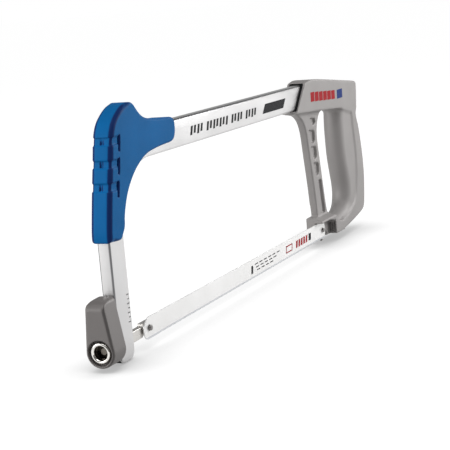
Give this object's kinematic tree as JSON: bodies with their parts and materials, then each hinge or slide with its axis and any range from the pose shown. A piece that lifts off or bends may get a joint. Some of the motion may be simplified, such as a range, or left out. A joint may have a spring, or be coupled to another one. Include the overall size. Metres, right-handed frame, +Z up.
{
  "type": "hacksaw",
  "caption": "Hacksaw with a D handle, a front grip at the bend of a deep frame, a pinned blade and a flip-round tension lever at the front.",
  "frame": {"origin": "middle of the bounding box, at the lowest point of the saw", "axes": "+X along the blade from the tension lever to the handle, +Z up from the blade to the top bar, -Y the side the blade lies on"},
  "size_m": [0.452, 0.019, 0.143],
  "materials": {
    "aluminium_tube": "satin anodised",
    "grip_plastic": "fine grain, blue",
    "cast_handle": "satin grey paint on a die casting",
    "black_plastic": "matte black",
    "plain_steel": "machined",
    "lever_casting": "satin dark grey",
    "chromed_steel": "bright",
    "holder_steel": "satin nickel",
    "pin_steel": "hardened",
    "blade_paint": "thin white paint on steel"
  },
  "bodies": {
    "frame": {"frame_tube": "aluminium_tube", "front_grip": "grip_plastic", "handle": "cast_handle", "socket_collar": "black_plastic", "bar_insert": "plain_steel", "handle_screw_front": "plain_steel", "handle_screw_rear": "plain_steel", "leg_plug": "black_plastic", "thrust_washer": "plain_steel", "rear_pin": "pin_steel", "rear_pin_45": "pin_steel"},
    "lever": {"tension_lever": "lever_casting", "tension_nut": "chromed_steel", "nut_clip": "plain_steel"},
    "holder": {"blade_holder": "holder_steel", "tension_rod": "plain_steel", "rod_pin": "plain_steel", "front_pin": "pin_steel", "front_pin_45": "pin_steel"},
    "blade": {"blade": "blade_paint"}
  },
  "joints": [
    {"name": "lever_turn", "type": "hinge", "parent": "frame", "child": "lever", "pos_m": [-0.218, 0, 0.0112], "axis": [1, 0, 0], "range_deg": [-1170, 0]},
    {"name": "holder_slide", "type": "slide", "parent": "frame", "child": "holder", "axis": [1, 0, 0], "range_m": [0, 0.0027], "deforming": ["blade"]},
    {"name": "blade_lift", "type": "slide", "parent": "frame", "child": "blade", "axis": [0, -1, 0], "range_m": [0, 0.012]}
  ],
  "couplings": [
    {"joint": "holder_slide", "follows": "lever_turn", "m_per_rad": -0.00012732}
  ]
}
